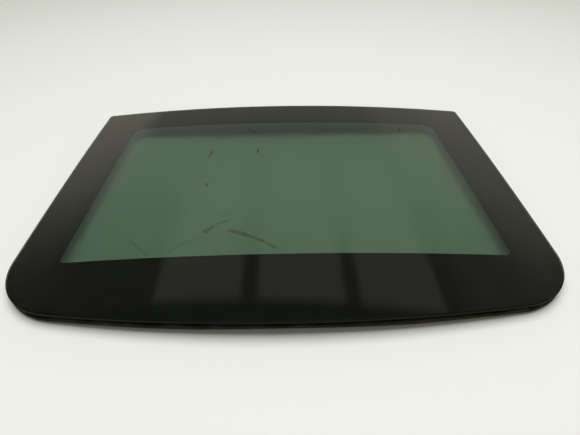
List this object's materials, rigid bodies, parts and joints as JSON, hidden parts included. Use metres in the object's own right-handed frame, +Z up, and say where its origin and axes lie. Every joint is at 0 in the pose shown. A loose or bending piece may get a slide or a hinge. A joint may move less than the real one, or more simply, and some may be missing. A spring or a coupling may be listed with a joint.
{
  "type": "panoramic sunroof front glass panel",
  "caption": "Crowned toughened sunroof glass with a black border, edge seal, bonded steel rails, side brackets and stop buffers, lying on its seal.",
  "frame": {"origin": "under the middle of the panel, on the surface that its seal rests on", "axes": "+X across the car, +Y from the front edge of the glass to its rear edge, +Z up, out of the outer face of the glass"},
  "size_m": [0.8798, 0.691, 0.0413],
  "materials": {
    "tinted_glass": "green tinted toughened glass, polished",
    "black_enamel": "fired black ceramic enamel",
    "moulded_polyurethane": "black moulded polyurethane, fine grain",
    "seal_rubber": "black cellular rubber, dusty",
    "adhesive": "cured black polyurethane adhesive",
    "coated_steel": "black dip coated pressed steel, satin",
    "plated_steel": "zinc plated steel",
    "buffer_rubber": "black solid rubber"
  },
  "bodies": {
    "root": {"glass_pane": "tinted_glass", "ceramic_border": "black_enamel", "edge_moulding": "moulded_polyurethane", "perimeter_seal": "seal_rubber", "bonding_bead": "adhesive", "front_rail": "coated_steel", "rear_rail": "coated_steel", "left_rail": "coated_steel", "right_rail": "coated_steel", "front_left_joint_plate": "coated_steel", "front_right_joint_plate": "coated_steel", "rear_left_joint_plate": "coated_steel", "rear_right_joint_plate": "coated_steel", "front_left_joint_rivets": "plated_steel", "front_right_joint_rivets": "plated_steel", "rear_left_joint_rivets": "plated_steel", "rear_right_joint_rivets": "plated_steel", "left_bracket": "plated_steel", "right_bracket": "plated_steel", "left_bracket_rivets": "plated_steel", "right_bracket_rivets": "plated_steel", "left_weld_nuts": "plated_steel", "right_weld_nuts": "plated_steel", "front_left_buffer": "buffer_rubber", "front_right_buffer": "buffer_rubber", "rear_left_buffer": "buffer_rubber", "rear_right_buffer": "buffer_rubber"}
  },
  "joints": []
}
